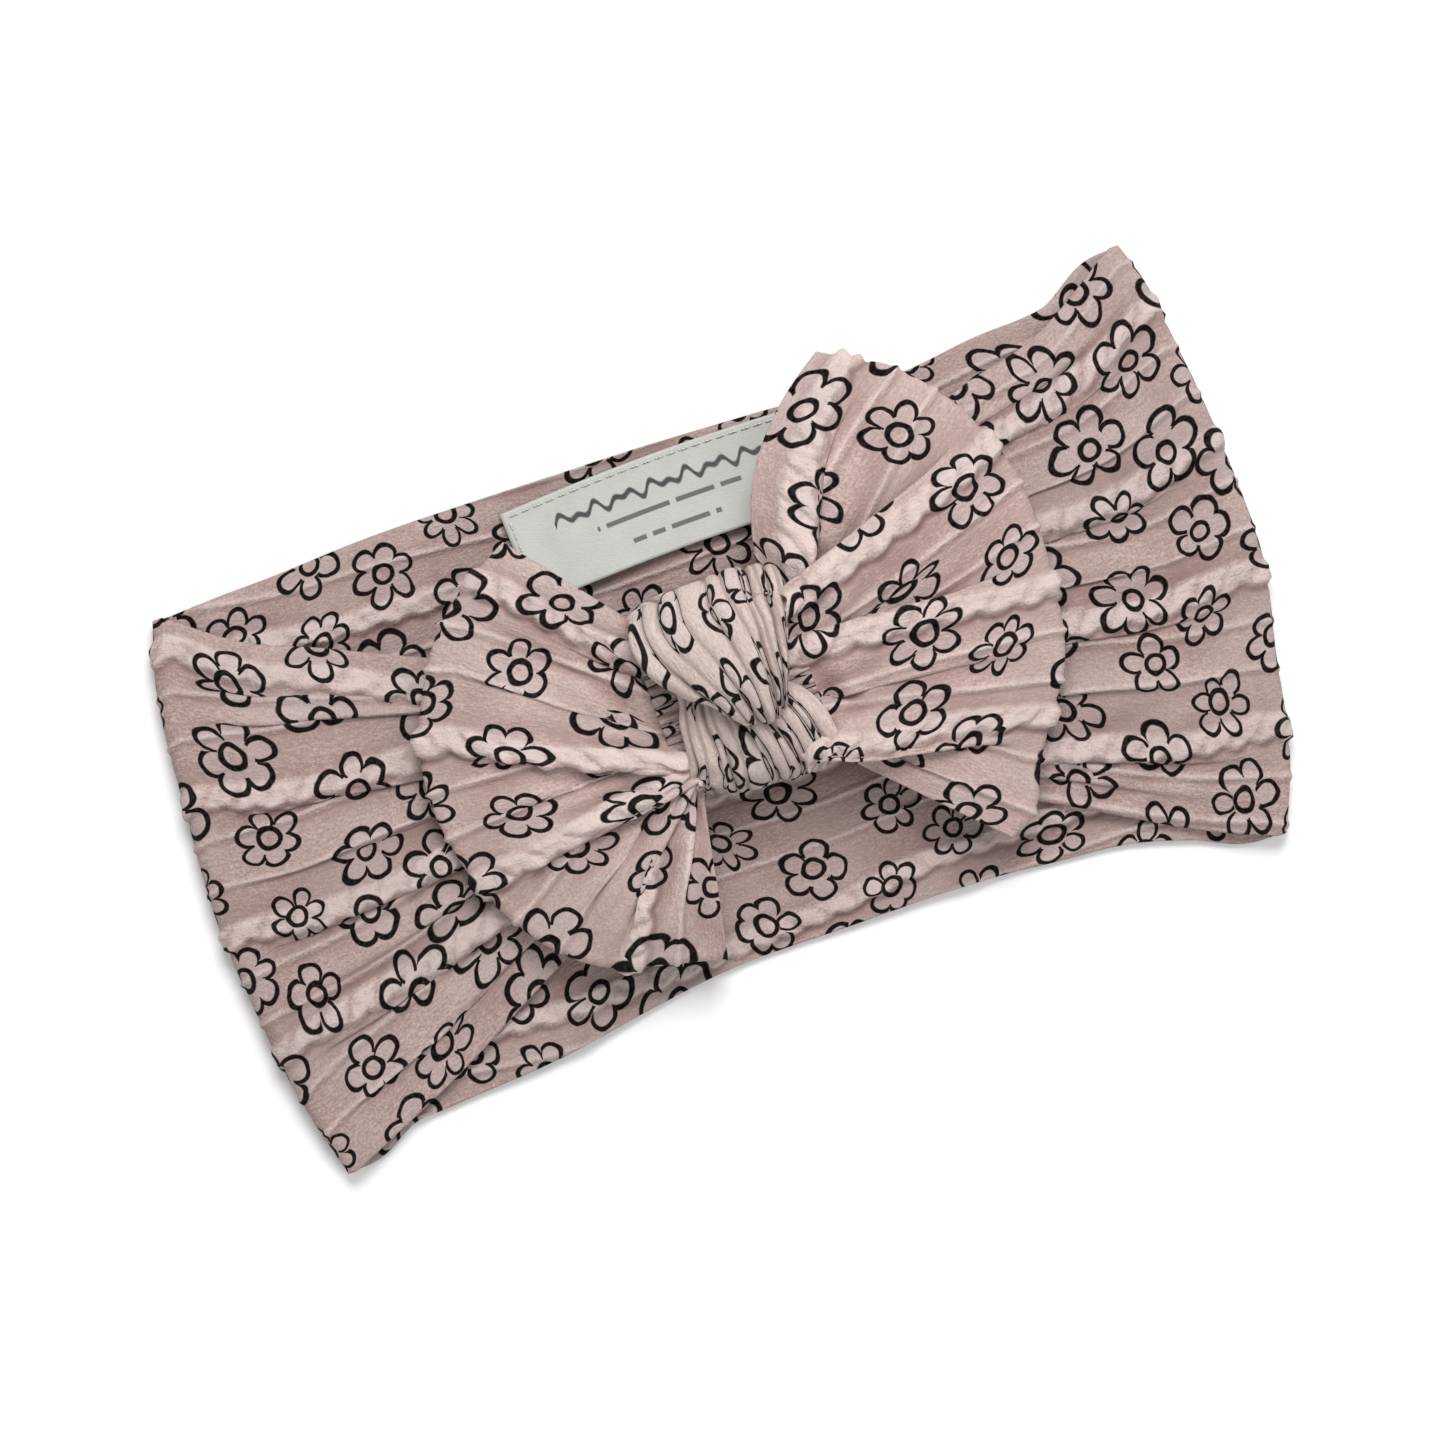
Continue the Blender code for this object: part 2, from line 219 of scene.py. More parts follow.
def build_mesh(name, vertices, faces, fabric, share, finish):
    """A mesh whose UV map holds each point's place on the flat cloth, in units of 100 mm."""
    mesh = bpy.data.meshes.new(name)
    mesh.from_pydata((vertices * MM).tolist(), [], faces.tolist())
    corners = np.zeros(len(mesh.loops), np.int32)
    mesh.loops.foreach_get("vertex_index", corners)
    layer = mesh.uv_layers.new(name="cloth")
    layer.data.foreach_set("uv", (fabric[corners] / 100).astype(np.float32).ravel())
    # the rib attribute carries painted light: paler on raised ribs and folds, darker in hollows and creases
    rib = mesh.attributes.new("rib", "FLOAT", "POINT")
    rib.data.foreach_set("value", share.astype(np.float32))
    mesh.shade_smooth()
    mesh.materials.append(finish)
    made = bpy.data.objects.new(name, mesh)
    bpy.context.scene.collection.objects.link(made)
    return made


def quads(near, after, far, before):
    return np.stack([near, after, far, before], -1).reshape(-1, 4)


def cloth(name, grid, fabric, outer, inner, share, finish, thickness=THICKNESS):
    """A closed sheet of cloth round a grid of points, with outer and inner relief on its two faces."""
    rows, columns = grid.shape[:2]
    normals = grid_normals(grid)
    count = rows * columns
    front = grid + normals * (thickness / 2 + outer)[..., None]
    back = grid - normals * (thickness / 2 + inner)[..., None]
    vertices = np.concatenate([front.reshape(-1, 3), back.reshape(-1, 3)])
    index = np.arange(count).reshape(rows, columns)
    a, b, c, d = index[:-1, :-1], index[1:, :-1], index[1:, 1:], index[:-1, 1:]
    faces = [quads(a, b, c, d), quads(d, c, b, a) + count]
    rim = np.concatenate([index[:-1, 0], index[-1, :-1], index[:0:-1, -1], index[0, :0:-1]])
    ahead = np.roll(rim, -1)
    faces.append(quads(ahead, rim, rim + count, ahead + count))
    places = np.concatenate([fabric.reshape(-1, 2)] * 2)
    shares = np.concatenate([share.ravel()] * 2)
    return build_mesh(name, vertices, np.concatenate(faces), places, shares, finish)


# ---- Materials ----


class Nodes:
    """Short names for building a material's nodes."""

    def __init__(self, name):
        self.material = bpy.data.materials.new(name)
        self.material.use_nodes = True
        self.tree = self.material.node_tree
        self.shader = self.tree.nodes["Principled BSDF"]

    def add(self, kind, inputs=None, **settings):
        node = self.tree.nodes.new(kind)
        for key, value in settings.items():
            setattr(node, key, value)
        for key, value in (inputs or {}).items():
            self.feed(node.inputs[key], value)
        return node

    def feed(self, socket, value):
        if isinstance(value, bpy.types.NodeSocket):
            self.tree.links.new(value, socket)
        else:
            socket.default_value = value

    def maths(self, operation, a, b=0.0, c=0.0):
        return self.add("ShaderNodeMath", {0: a, 1: b, 2: c}, operation=operation).outputs[0]

    def vector(self, operation, a, b=(0, 0, 0)):
        return self.add("ShaderNodeVectorMath", {0: a, 1: b}, operation=operation).outputs[0]

    def scaled(self, vector, factor):
        node = self.add("ShaderNodeVectorMath", {0: vector}, operation="SCALE")
        self.feed(node.inputs["Scale"], factor)
        return node.outputs[0]

    def split(self, vector):
        return self.add("ShaderNodeSeparateXYZ", {0: vector}).outputs

    def join(self, x, y, z=0.0):
        return self.add("ShaderNodeCombineXYZ", {0: x, 1: y, 2: z}).outputs[0]

    def steps(self, value, low, high):
        """0 below low, 1 above high, smooth between."""
        inputs = {"Value": value, "From Min": low, "From Max": high}
        return self.add("ShaderNodeMapRange", inputs, interpolation_type="SMOOTHSTEP").outputs[0]

    def blend(self, share, a, b):
        node = self.add("ShaderNodeMix", data_type="RGBA", clamp_factor=True)
        colours = [s for s in node.inputs if s.type == "RGBA"]
        self.feed(node.inputs[0], share)
        self.feed(colours[0], a)
        self.feed(colours[1], b)
        return [s for s in node.outputs if s.type == "RGBA"][0]

    def noise(self, place, scale, detail=2.0, roughness=0.5):
        inputs = {"Vector": place, "Scale": scale, "Detail": detail, "Roughness": roughness}
        return self.add("ShaderNodeTexNoise", inputs, noise_dimensions="3D").outputs

    def random(self, place):
        return self.add("ShaderNodeTexWhiteNoise", {"Vector": place}, noise_dimensions="3D").outputs


# The print: flowers in two interleaved lattices of cells, drawn with one round-ended line. Millimetres.
CELL = (28.6, 16.5)
LINE_HALF = 0.4
FLOWER_RADIUS = 6.2


def flowers(n, place, shift, seed):
    """The ink and the pale petals of one lattice of flowers, each 0 to 1. Each cell has its own place,
    turn, size and petals."""
    moved = n.vector("ADD", place, (*shift, 0))
    cells = n.vector("DIVIDE", moved, (*CELL, 1))
    corner = n.vector("FLOOR", cells)
    within = n.vector("SUBTRACT", n.vector("SUBTRACT", cells, corner), (0.5, 0.5, 0))
    local = n.vector("MULTIPLY", within, (*CELL, 0))
    chance = n.random(n.vector("ADD", corner, (0, 0, seed)))
    r1, r2, r3 = n.split(chance["Color"])[0:3]
    r4 = chance["Value"]
    jitter = n.join(n.maths("MULTIPLY_ADD", r1, 5.0, -2.5), n.maths("MULTIPLY_ADD", r2, 1.2, -0.6))
    local = n.vector("SUBTRACT", local, jitter)
    x, y = n.split(local)[0:2]
    size = n.maths("MULTIPLY_ADD", n.maths("MULTIPLY", r3, r3), 0.3, 0.87)
    radius = n.maths("DIVIDE", n.add("ShaderNodeVectorMath", {0: local}, operation="LENGTH").outputs["Value"], size)
    angle = n.maths("ADD", n.maths("ARCTAN2", y, x), n.maths("MULTIPLY", r4, TURN))
    lot = n.maths("FRACT", n.maths("MULTIPLY", r4, 7.3))
    petals = n.maths("ADD", n.maths("GREATER_THAN", lot, 0.3), n.maths("GREATER_THAN", lot, 0.86))
    petals = n.maths("ADD", petals, 5.0)
    sector = n.maths("DIVIDE", n.maths("MULTIPLY", angle, petals), TURN)
    which = n.maths("FLOOR", sector)
    which = n.maths("FLOORED_MODULO", which, petals)
    petal = n.random(n.vector("ADD", corner, n.join(which, 0.37, seed)))
    p1, p2, p3 = n.split(petal["Color"])[0:3]
    fold = n.maths("SUBTRACT", n.maths("FRACT", sector), 0.5)
    fold = n.maths("DIVIDE", n.maths("MULTIPLY", fold, TURN), petals)
    px = n.maths("MULTIPLY", radius, n.maths("COSINE", fold))
    py = n.maths("MULTIPLY", radius, n.maths("SINE", fold))
    length = n.maths("MULTIPLY_ADD", p1, 0.7, 2.2)
    middle = n.maths("SUBTRACT", n.maths("MULTIPLY_ADD", p3, 1.3, FLOWER_RADIUS - 0.65), length)
    narrow = n.maths("DIVIDE", 12.0, petals)
    width = n.maths("MULTIPLY", narrow, n.maths("MULTIPLY_ADD", p2, 0.3, 0.8))
    ex = n.maths("DIVIDE", n.maths("SUBTRACT", px, middle), length)
    ey = n.maths("DIVIDE", py, n.maths("MULTIPLY", width, n.maths("MULTIPLY_ADD", ex, 0.16, 1.0)))
    reach = n.maths("SQRT", n.maths("ADD", n.maths("MULTIPLY", ex, ex), n.maths("MULTIPLY", ey, ey)))
    edge = n.maths("MULTIPLY", n.maths("ABSOLUTE", n.maths("SUBTRACT", reach, 1.0)), 2.2)
    outside = n.maths("GREATER_THAN", radius, n.maths("MULTIPLY_ADD", p2, 1.0, 2.6))
    outline = n.maths("MULTIPLY", n.steps(edge, LINE_HALF + 0.1, LINE_HALF - 0.1), outside)
    off = n.join(n.maths("MULTIPLY_ADD", r2, 1.0, -0.5), n.maths("MULTIPLY_ADD", r3, 1.0, -0.5))
    ring_vector = n.vector("SUBTRACT", local, off)
    ring_reach = n.add("ShaderNodeVectorMath", {0: ring_vector}, operation="LENGTH").outputs["Value"]
    ring_edge = n.maths("ABSOLUTE", n.maths("SUBTRACT", ring_reach, 1.75))
    ring = n.steps(ring_edge, LINE_HALF + 0.14, LINE_HALF - 0.06)
    return n.maths("MAXIMUM", outline, ring), n.steps(reach, 1.03, 0.97)


def knit(name, base, light, grain, print_shift=(0.0, 0.0)):
    """Brushed ribbed knit with the flower print, painted paler on the raised ribs and folds as painted highlight, and
    darker in the hollows and creases as painted shade.
    """
    n = Nodes(name)
    cloth_map = n.add("ShaderNodeUVMap", uv_map="cloth").outputs[0]
    place = n.scaled(cloth_map, 100.0)
    place = n.vector("ADD", place, (*print_shift, 0))
    wobble = n.vector("SUBTRACT", n.noise(place, 0.16, 2.0)["Color"], (0.5, 0.5, 0.5))
    drift = n.vector("SUBTRACT", n.noise(place, 0.025, 0.0)["Color"], (0.5, 0.5, 0.5))
    drawn = n.vector("ADD", place, n.scaled(wobble, 1.9))
    drawn = n.vector("ADD", drawn, n.scaled(drift, 9.0))
    drawn = n.vector("MULTIPLY", drawn, (1, 1, 0))
    first, first_petals = flowers(n, drawn, (0.0, 0.0), 1.0)
    second, second_petals = flowers(n, drawn, (CELL[0] / 2, CELL[1] / 2), 2.0)
    ink = n.maths("MAXIMUM", first, second)
    petals = n.maths("MAXIMUM", first_petals, second_petals)
    ink_fade = n.maths("MULTIPLY_ADD", n.noise(place, 1.6, 3.0)["Fac"], 0.12, 0.92)
    ink = n.maths("MULTIPLY", ink, n.maths("MINIMUM", ink_fade, 1.0))

    rib = n.add("ShaderNodeAttribute", attribute_name="rib").outputs["Fac"]
    streak = n.noise(n.vector("MULTIPLY", place, (0.4, 1.0, 1.0)), 1.7, 3.0, 0.7)["Fac"]
    fleck = n.noise(place, 2.1, 3.0, 0.8)["Fac"]
    cloud = n.noise(place, 0.11, 2.0)["Fac"]
    tone = n.maths("ADD", n.maths("MULTIPLY_ADD", streak, 1.6, -0.8), n.maths("MULTIPLY_ADD", fleck, 2.3, -1.15))
    tone = n.maths("MULTIPLY", tone, grain)
    tone = n.maths("ADD", tone, n.maths("MULTIPLY_ADD", cloud, 0.7, -0.1))
    # painted highlight: the rib attribute paints the raised ribs and raised folds paler
    tone = n.maths("ADD", tone, n.maths("MULTIPLY", rib, 0.85))
    colour = n.blend(tone, base, light)
    patch = n.steps(n.noise(place, 0.045, 1.0)["Fac"], 0.42, 0.62)
    colour = n.blend(n.maths("MULTIPLY", patch, 0.3), colour, [c * w for c, w in zip(light, (0.74, 0.78, 0.76, 1))])
    # painted shade: where the rib attribute falls below 0, in hollows, creases and along the foot of each rib, the
    # colour darkens towards a deep reddish brown
    painted_hollow_shade = n.maths("MULTIPLY", rib, -0.9)
    colour = n.blend(painted_hollow_shade, colour, [c * share for c, share in zip(base, (0.45, 0.36, 0.38, 1))])
    colour = n.blend(n.maths("MULTIPLY", petals, 0.24), colour, (0.53, 0.475, 0.48, 1))
    colour = n.blend(ink, colour, (0.0015, 0.0008, 0.0008, 1))
    n.feed(n.shader.inputs["Base Color"], colour)
    n.shader.inputs["Roughness"].default_value = 0.88
    n.shader.inputs["Specular IOR Level"].default_value = 0.03
    n.shader.inputs["Sheen Weight"].default_value = 0.02
    n.shader.inputs["Sheen Roughness"].default_value = 0.5
    n.shader.inputs["Sheen Tint"].default_value = (1.0, 0.9, 0.87, 1)
    crumple = n.noise(n.vector("MULTIPLY", place, (1.0, 0.7, 1.0)), 0.75, 3.0, 0.6)["Fac"]
    crumple = n.maths("MULTIPLY", crumple, n.maths("MULTIPLY_ADD", n.maths("MAXIMUM", rib, 0.0), 1.2, 0.3))
    height = n.maths("ADD", n.maths("ADD", streak, n.maths("MULTIPLY", fleck, 0.8)), crumple)
    bump = n.add("ShaderNodeBump", {"Height": height, "Strength": 0.85, "Distance": 0.0005})
    n.feed(n.shader.inputs["Normal"], bump.outputs[0])
    return n.material


def satin(name):
    """The label's woven satin, with a stroke and rows of dashes in place of words."""
    n = Nodes(name)
    place = n.scaled(n.add("ShaderNodeUVMap", uv_map="cloth").outputs[0], 100.0)
    x, y = n.split(place)[0:2]
    weave = n.noise(n.vector("MULTIPLY", place, (0.25, 1.0, 1.0)), 4.5, 2.0, 0.6)["Fac"]
    cloud = n.noise(place, 0.2, 1.0)["Fac"]
    tone = n.maths("ADD", n.maths("MULTIPLY", weave, 0.6), n.maths("MULTIPLY", cloud, 0.4))
    colour = n.blend(tone, (0.34, 0.345, 0.32, 1), (0.52, 0.525, 0.49, 1))

    swing = n.maths("ADD", n.maths("SINE", n.maths("MULTIPLY", x, 1.9)), n.maths("SINE", n.maths("MULTIPLY", x, 1.13)))
    stroke = n.maths("ABSOLUTE", n.maths("SUBTRACT", n.maths("SUBTRACT", y, 5.2), n.maths("MULTIPLY", swing, 0.6)))
    stroke = n.steps(stroke, 0.75, 0.3)
    within = n.maths("MULTIPLY", n.maths("GREATER_THAN", x, 8.0), n.maths("LESS_THAN", x, 47.0))
    ink = n.maths("MULTIPLY", stroke, within)
    for row, half_length in ((8.9, 13.0), (13.0, 8.0)):
        dash = n.random(n.join(n.maths("FLOOR", n.maths("DIVIDE", x, 1.15)), row))["Value"]
        line = n.steps(n.maths("ABSOLUTE", n.maths("SUBTRACT", y, row)), 0.5, 0.35)
        inside = n.maths("LESS_THAN", n.maths("ABSOLUTE", n.maths("SUBTRACT", x, 27.5)), half_length)
        line = n.maths("MULTIPLY", line, n.maths("MULTIPLY", inside, n.maths("GREATER_THAN", dash, 0.24)))
        ink = n.maths("MAXIMUM", ink, n.maths("MULTIPLY", line, 0.85))
    n.feed(n.shader.inputs["Base Color"], n.blend(ink, colour, (0.02, 0.018, 0.02, 1)))
    n.shader.inputs["Roughness"].default_value = 0.45
    n.shader.inputs["Sheen Weight"].default_value = 0.2
    bump = n.add("ShaderNodeBump", {"Height": weave, "Strength": 0.25, "Distance": 0.0002})
    n.feed(n.shader.inputs["Normal"], bump.outputs[0])
    return n.material


def yarn(name, colour):
    """Twisted sewing thread."""
    n = Nodes(name)
    place = n.add("ShaderNodeTexCoord").outputs["Object"]
    ply = n.add("ShaderNodeTexWave", {"Vector": place, "Scale": 900.0, "Distortion": 1.5}, bands_direction="DIAGONAL")
    dark = (*[c * 0.6 for c in colour], 1)
    n.feed(n.shader.inputs["Base Color"], n.blend(ply.outputs["Fac"], dark, (*colour, 1)))
    n.shader.inputs["Roughness"].default_value = 0.6
    bump = n.add("ShaderNodeBump", {"Height": ply.outputs["Fac"], "Strength": 0.4, "Distance": 0.0002})
    n.feed(n.shader.inputs["Normal"], bump.outputs[0])
    return n.material


# One knit in three copies. The band's copy is darker than the bow's and the knot's: partly the cloth's own tone and
# partly painted shade, for the band lying lower, under the bow.
band_knit = knit("band_knit", (0.365, 0.252, 0.23, 1), (0.62, 0.50, 0.47, 1), 1.0)
bow_knit = knit("bow_knit", (0.435, 0.302, 0.276, 1), (0.69, 0.56, 0.52, 1), 1.0, (31.0, 12.0))
knot_knit = knit("knot_knit", (0.47, 0.352, 0.315, 1), (0.70, 0.59, 0.54, 1), 1.0, (7.0, 41.0))
label_satin = satin("label_satin")
pink_thread = yarn("pink_thread", (0.55, 0.42, 0.38))
pale_thread = yarn("pale_thread", (0.62, 0.60, 0.55))

# ---- The band ----

BACK_Z = 1.0
NECK_Z = 6.7
LEFT_NECK = (-6.0, 10.0, -12.0)  # X inside the knot that the wing runs towards, then its upper and lower Y
RIGHT_NECK = (10.0, 12.5, -12.5)
WING_END = 0.96  # share of that way that the wing goes
NECK_MIDDLE = 1.5
NECK_SQUEEZE = 0.4  # what the gathered end loses of its width, inside the neck
NECK_REACH = 3.5  # how far the neck's cloth covers the wings' ends
LEFT_FOLD = ((-52.2, -88.0), (-38, -91.3), (-18, -93.6), (-8, -94.3), (16, -92.9), (40, -89.8), (48.2, -87.2))
RIGHT_FOLD = ((-52.2, 82.8), (-41, 87.4), (-22, 91.6), (-8, 94.8), (12, 95.1), (36, 93.2), (46, 91.9), (52.2, 90.0))
BACK_TOP = (
    (-90, 48.6), (-70, 48.6), (-55, 49.2), (-20, 48.5), (0, 47.8), (22, 46.6), (49, 44.6), (62, 46.0), (76, 46.8),
    (90, 52.2),
)
BACK_BOTTOM = (
    (-90, -52.2), (-81, -48.4), (-70, -47.6), (-46, -46.0), (-30, -43.7), (-16, -42.0), (12, -41.9), (36, -42.2),
    (50, -43.6), (65, -45.2), (77, -48.6), (88, -52.2),
)
LEFT_TOP_SHAPE = ((0, 0), (0.15, 0.235), (0.27, 0.345), (0.5, 0.57), (1, 1))
LEFT_BOTTOM_SHAPE = ((0, 0), (0.08, 0.07), (0.27, 0.235), (0.47, 0.44), (1, 1))
RIGHT_TOP_SHAPE = ((0, 0), (0.2, 0.235), (0.44, 0.37), (0.7, 0.66), (1, 1))
RIGHT_BOTTOM_SHAPE = ((0, 0), (0.11, 0.085), (0.45, 0.43), (1, 1))
LEFT_CABLES = (5.0, 31.5, 57.5, 79.5)
MIDDLE_CABLES = (14.0, 41.0, 67.0, 95.0)
RIGHT_CABLES = (12.0, 36.0, 60.0, 87.0)
WING_LENGTH = 86.0
BACK_LENGTH = 180.0
FOLD_STEPS = 7
FOLD_RADIUS = 2.5
LEFT_PLEATS = (
    (9.0, 0.16, 1, 0.8),
    (17.0, 0.16, 1, 1.0),
    (35.0, 0.16, 1, 0.9),
    (48.0, 0.06, 1, 0.8),
    (61.0, 0.16, 1, 0.9),
    (72.0, 0.06, 1, 0.8),
    (83.0, 0.16, 1, 0.8),
    (95.0, 0.08, 1, 0.8),
)
RIGHT_PLEATS = (
    (7.0, 0.1, 1, 0.8),
    (15.5, 0.14, 1, 0.8),
    (28.0, 0.07, 1, 0.8),
    (39.5, 0.15, 1, 0.8),
    (51.0, 0.07, 1, 0.8),
    (63.5, 0.16, 1, 0.9),
    (76.0, 0.07, 1, 0.8),
    (90.5, 0.16, 1, 0.8),
    (98.0, 0.08, 1, 0.8),
)

across = np.linspace(0, 1, ACROSS_STEPS)[None, :]


def fold_line(line, top, bottom):
    y = mix(top, bottom, across)
    return smooth_line(line, y), y


def fold_radius():
    return FOLD_RADIUS * (1 - 0.4 * (2 * across - 1) ** 6)


def wing_grid(side, t, line, lines):
    """Points of the front from the fold, where t is 0, to the neck inside the knot, where it is 1."""
    left = side < 0
    neck_x, neck_top, neck_bottom = LEFT_NECK if left else RIGHT_NECK
    top_shape = smooth_line(LEFT_TOP_SHAPE if left else RIGHT_TOP_SHAPE, t)
    bottom_shape = smooth_line(LEFT_BOTTOM_SHAPE if left else RIGHT_BOTTOM_SHAPE, t)
    top_y = mix(line[-1][0], neck_top, top_shape)
    bottom_y = mix(line[0][0], neck_bottom, bottom_shape)
    reached, raised = pleats((top_y - bottom_y)[:, 0], lines)
    share = soften(reached / reached[:, -1:], 1.6)
    raised = soften(raised, 1.6)
    share = mix(across, share, smooth(t * 12))
    hidden = smooth((t - 0.74) / 0.16)
    raised = raised * smooth(t * 8) * (1 - 0.85 * hidden)
    fold_y = mix(line[-1][0], line[0][0], share)
    start_x = smooth_line(line, fold_y) - side * fold_radius()
    x = mix(start_x, neck_x, t)
    y = mix(top_y, bottom_y, share)
    y = y - (y - NECK_MIDDLE) * NECK_SQUEEZE * hidden
    z = mix(BACK_Z + 2 * fold_radius(), NECK_Z - 2.0, smooth(t * 1.3)) + raised
    z = z + 1.6 * hidden
    z = z + 0.5 * smooth(t * 5) * ripples(x, y, 34, 3 + side)
    z = z + 0.25 * smooth(t * 5) * ripples(x * 0.3, y, 7, 5 + side)
    sag = smooth(t * 4) * (1 - smooth(t)) * np.abs(2 * across - 1) ** 5
    z = z - 1.2 * sag
    return np.stack([x, y, z], 2)


def fold_grid(side, angle, line):
    """Points round a fold: the angle is 90 degrees on top, 180 at its outermost line and 270 below."""
    fold_x, fold_y = fold_line(line, line[-1][0], line[0][0])
    radius = fold_radius()
    turn = np.radians(angle)
    x = fold_x - side * radius - side * radius * np.cos(turn)
    z = BACK_Z + radius + radius * np.sin(turn)
    return np.stack(np.broadcast_arrays(x, fold_y, z), 2)


def back_grid(w):
    left_x, left_y = fold_line(LEFT_FOLD, LEFT_FOLD[-1][0], LEFT_FOLD[0][0])
    right_x, right_y = fold_line(RIGHT_FOLD, RIGHT_FOLD[-1][0], RIGHT_FOLD[0][0])
    radius = fold_radius()
    x = mix(left_x + radius, right_x - radius, w)
    level = mix(BACK_TOP[0][0], BACK_TOP[-1][0], w)
    y = mix(smooth_line(BACK_TOP, level), smooth_line(BACK_BOTTOM, level), across)
    ends = smooth(w * 12) * smooth((1 - w) * 12)
    y = mix(mix(left_y, right_y, smooth(w)), y, ends)
    z = BACK_Z + ends * (0.35 + 0.35 * ripples(x, y, 40, 11))
    z = z + 0.25 * ends * ripples(x * 0.3, y, 9, 12)
    return np.stack(np.broadcast_arrays(x, y, z), 2)


def column(values):
    return np.asarray(values, float)[:, None]


def band_strip():
    """The whole band strip, from its left neck round the back to its right neck."""
    wing_steps = int(WING_LENGTH / WING_STEP)
    back_steps = int(BACK_LENGTH / ALONG_STEP)
    out = column(np.linspace(WING_END, 0, wing_steps))
    turn = column(np.linspace(90, 180, FOLD_STEPS))[1:]
    half_fold = math.pi * FOLD_RADIUS / 2
    parts = [
        (wing_grid(-1, out, LEFT_FOLD, LEFT_PLEATS), -half_fold - out * WING_LENGTH),
        (fold_grid(-1, turn, LEFT_FOLD), half_fold * (turn - 180) / 90),
        (fold_grid(-1, turn + 90, LEFT_FOLD), half_fold * (turn - 90) / 90),
    ]
    over = column(np.linspace(0, 1, back_steps))[1:]
    parts.append((back_grid(over), half_fold + over * BACK_LENGTH))
    end = 2 * half_fold + BACK_LENGTH
    parts.append((fold_grid(1, 360 - turn, RIGHT_FOLD), end - half_fold * (180 - turn) / 90))
    parts.append((fold_grid(1, 270 - turn, RIGHT_FOLD), end + half_fold * (turn - 90) / 90))
    back = out[::-1][1:]
    parts.append((wing_grid(1, back, RIGHT_FOLD, RIGHT_PLEATS), end + half_fold + back * WING_LENGTH))
    grid = np.concatenate([g for g, _ in parts])
    along = np.concatenate([a for _, a in parts])
    left_end = wing_steps + FOLD_STEPS - 1
    right_start = left_end + (FOLD_STEPS - 1) + (back_steps - 1) + (FOLD_STEPS - 1)
    return grid, along, left_end, right_start


def under_label(grid):
    """1 where the label presses the back panel flat, fading to 0 round it."""
    low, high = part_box("care_label")
    x, y, z = np.moveaxis(grid, 2, 0)
    beside = smooth((x - low.x / MM) / 3 + 1) * smooth((high.x / MM - x) / 3 + 1)
    level = smooth((y - low.y / MM) / 2 + 1) * smooth((high.y / MM - y) / 2 + 1)
    return beside * level * (z < 4)


def make_band():
    grid, along, left_end, right_start = band_strip()
    total = along[right_start - 1, 0]
    stations = ((-5, 0), (40, 1), (total - 40, 1), (total + 5, 0))
    to_middle = smooth_line(stations, along)
    cables = []
    for left, middle, right in zip(LEFT_CABLES, MIDDLE_CABLES, RIGHT_CABLES):
        side_value = mix(left, right, smooth((along - 40) / (total - 80)))
        cables.append(mix(side_value, middle, to_middle))
    height, share = ribs(along, across * STRIP, cables)
    inside = smooth((along - 6) / 10) * smooth((total - 6 - along) / 10)
    at_fold = np.exp(-((along / 5) ** 2)) + np.exp(-(((along - total) / 5) ** 2))
    facing_down = smooth(-grid_normals(grid)[..., 2])
    from_end = np.minimum(along - along[0], along[-1] - along) / WING_LENGTH
    height = height * (0.2 + 0.8 * smooth(from_end / 0.16))
    outer = height * mix(1.0, 0.12, inside) * (1 - 0.45 * at_fold) * (1 - 0.9 * facing_down)
    inner = height * mix(0.12, 1.0, inside) * (1 - 0.8 * under_label(grid))
    # painted light and shade: cloth standing above its neighbours is painted paler, cloth in the hollows between
    # pleats and folds darker
    share = 0.6 * share + 0.7 * painted_relief_light(grid[..., 2] + np.maximum(outer, inner))
    places = np.stack(np.broadcast_arrays(along, across * STRIP), 2)
    pieces = {}
    cuts = {
        "left_front_cloth": slice(0, left_end),
        "back_cloth": slice(left_end - 1, right_start),
        "right_front_cloth": slice(right_start - 1, None),
    }
    for name, cut in cuts.items():
        pieces[name] = cloth(
            name, grid[cut], places[cut], outer[cut], inner[cut], share[cut], band_knit
        )
    back, left, right = (pieces[k] for k in ("back_cloth", "left_front_cloth", "right_front_cloth"))
    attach(back, "band_back")
    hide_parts("back_panel", "left_fold", "right_fold")
    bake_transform(left)
    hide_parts("left_wing")
    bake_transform(right)
    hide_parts("right_wing")


# ---- The bow ----

